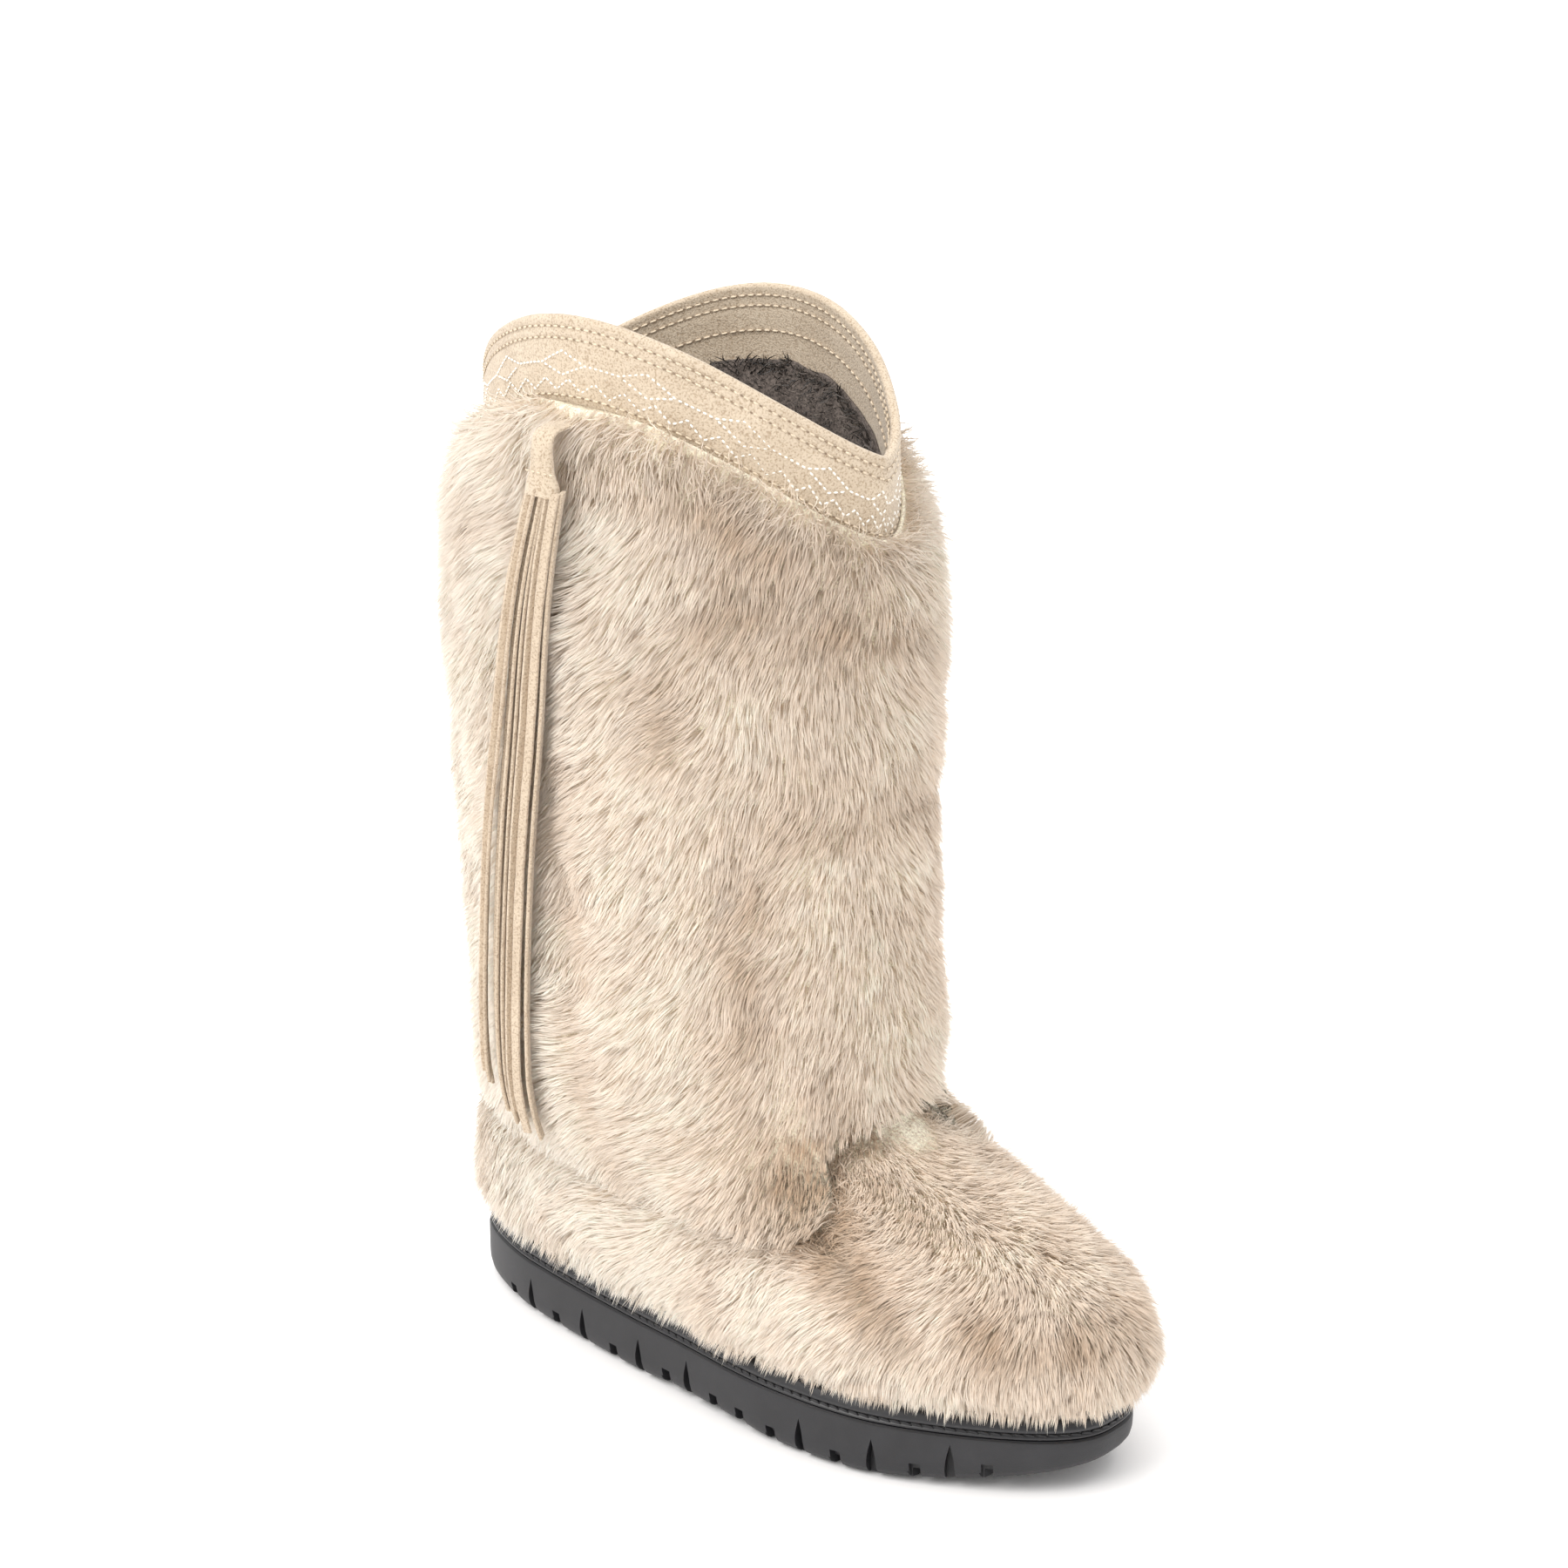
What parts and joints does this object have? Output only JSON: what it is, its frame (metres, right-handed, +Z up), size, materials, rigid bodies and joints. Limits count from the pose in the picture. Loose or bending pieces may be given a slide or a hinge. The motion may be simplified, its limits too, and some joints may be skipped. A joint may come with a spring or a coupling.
{
  "type": "mukluk boot",
  "caption": "Tall slip-on mukluk boot for the right foot: fur foot and shaft over a suede upper, curved stitched suede collar, fringed tassel, lugged rubber sole.",
  "frame": {"origin": "on the ground under the middle of the heel, on the flat of the tread", "axes": "+X towards the toe, +Y towards the inner side of this right boot, +Z up"},
  "size_m": [0.3087, 0.1568, 0.404],
  "materials": {
    "outsole": "matt black moulded rubber with a fine leather-like grain",
    "rand": "semi-gloss black strip with a stitched groove",
    "suede": "pale beige suede with a short nap and pale stitching",
    "fur": "deep cream plush fur, tan at the roots",
    "lining": "dark grey-brown curly pile"
  },
  "bodies": {
    "root": {"outsole": "outsole", "rand": "rand", "insole": "lining", "upper": "suede", "collar": "suede", "fur_foot": "fur", "fur_shaft": "fur", "tassel_tab": "suede", "tassel_fringe": "suede"}
  },
  "joints": []
}
